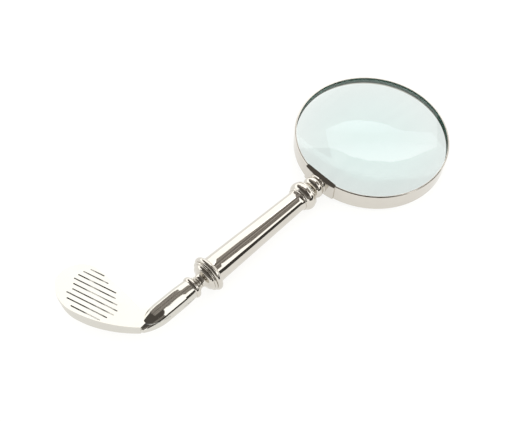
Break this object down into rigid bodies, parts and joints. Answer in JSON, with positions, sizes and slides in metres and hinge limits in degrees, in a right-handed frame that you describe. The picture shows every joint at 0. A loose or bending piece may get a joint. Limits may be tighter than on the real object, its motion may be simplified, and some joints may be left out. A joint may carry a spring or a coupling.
{
  "type": "hand magnifier with golf iron handle",
  "caption": "Round hand magnifier: glass lens in a metal rim on a turned metal handle that ends in a golf iron's head.",
  "frame": {"origin": "centre of the lens frame, halfway between its two edges, on the optical axis", "axes": "+Z is the optical axis, out of the side the club face looks to; the handle runs along -Y from the lens; the club blade turns off towards -X"},
  "size_m": [0.1104, 0.2735, 0.0232],
  "materials": {
    "polished_nickel": "mirror polish",
    "satin_iron": "soft polish with grooves blackened",
    "lens_glass": "polished optical glass",
    "gasket_rubber": "matte",
    "spring_steel": "drawn wire",
    "steel_hardware": "zinc plated",
    "nylon_washer": "moulded"
  },
  "bodies": {
    "lens_head": {"bezel": "polished_nickel", "lens": "lens_glass", "lens_gasket": "gasket_rubber", "retaining_wire": "spring_steel", "saddle": "polished_nickel", "neck_ferrule": "polished_nickel", "lens_stud": "steel_hardware"},
    "washer": {"washer": "nylon_washer"},
    "handle": {"upper_collar": "polished_nickel", "handle_tube": "polished_nickel", "rod_lock_nut": "steel_hardware", "tie_rod": "steel_hardware", "lower_collar": "polished_nickel", "collar_ring": "polished_nickel", "cup_ferrule": "polished_nickel", "stem_bead_1": "polished_nickel", "stem_bead_2": "polished_nickel", "hosel_ring": "polished_nickel", "iron_head": "satin_iron"}
  },
  "joints": [
    {"name": "handle_travel", "type": "slide", "parent": "lens_head", "child": "washer", "axis": [0, -1, 0], "range_m": [0, 0.008]},
    {"name": "handle_screw", "type": "hinge", "parent": "washer", "child": "handle", "pos_m": [0, -0.0621, 0], "axis": [0, -1, 0], "range_deg": [0, 2880]}
  ],
  "couplings": [
    {"joint": "handle_travel", "follows": "handle_screw", "m_per_rad": 0.00015915}
  ]
}
